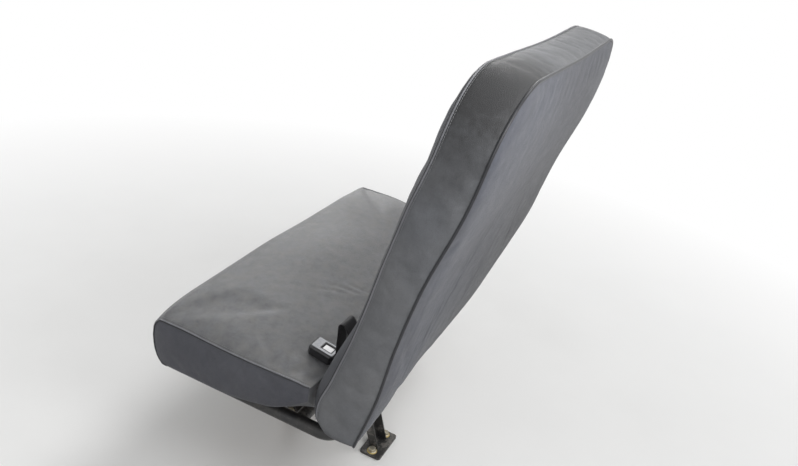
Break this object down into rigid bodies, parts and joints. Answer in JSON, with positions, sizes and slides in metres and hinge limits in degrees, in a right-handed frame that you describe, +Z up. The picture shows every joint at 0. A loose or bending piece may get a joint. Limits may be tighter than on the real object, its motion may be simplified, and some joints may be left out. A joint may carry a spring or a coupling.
{
  "type": "school bus bench seat",
  "caption": "Padded school bus passenger bench on a tube frame, with a leaning floor leg, wall brackets, flip-up cushion and lap belt buckle.",
  "frame": {"origin": "middle of the four floor bolts, on the floor", "axes": "+Z up, the seat faces -Y, +X towards the aisle end"},
  "size_m": [0.991, 0.6384, 1.0571],
  "materials": {
    "frame_black": "semi-gloss black powder coat",
    "back_vinyl": "blue-grey grained vinyl, satin",
    "cushion_vinyl": "blue-grey grained vinyl, satin",
    "board_wood": "plywood, unpainted",
    "fitting_zinc": "zinc plated",
    "buckle_black": "moulded black plastic",
    "buckle_metal": "satin plated steel",
    "webbing_black": "woven belt strap"
  },
  "bodies": {
    "frame": {"front_tube": "frame_black", "rear_tube": "frame_black", "aisle_side_tube": "frame_black", "wall_side_tube": "frame_black", "front_leg": "frame_black", "rear_leg": "frame_black", "leg_rail": "frame_black", "leg_stretcher": "frame_black", "front_foot_plate": "frame_black", "rear_foot_plate": "frame_black", "front_wall_bracket": "frame_black", "rear_wall_bracket": "frame_black", "back_cushion": "back_vinyl"},
    "cushion": {"cushion_board": "board_wood", "cushion_pad": "cushion_vinyl", "wall_hinge_hook": "fitting_zinc", "aisle_hinge_hook": "fitting_zinc", "wall_rear_clip": "fitting_zinc", "aisle_rear_clip": "fitting_zinc", "buckle_body": "buckle_black", "buckle_cover": "buckle_metal", "buckle_button": "buckle_metal", "buckle_webbing": "webbing_black", "belt_anchor_plate": "fitting_zinc"}
  },
  "joints": [
    {"name": "cushion_flip", "type": "hinge", "parent": "frame", "child": "cushion", "pos_m": [0, -0.226, 0.284], "axis": [1, 0, 0], "range_deg": [0, 85]}
  ]
}
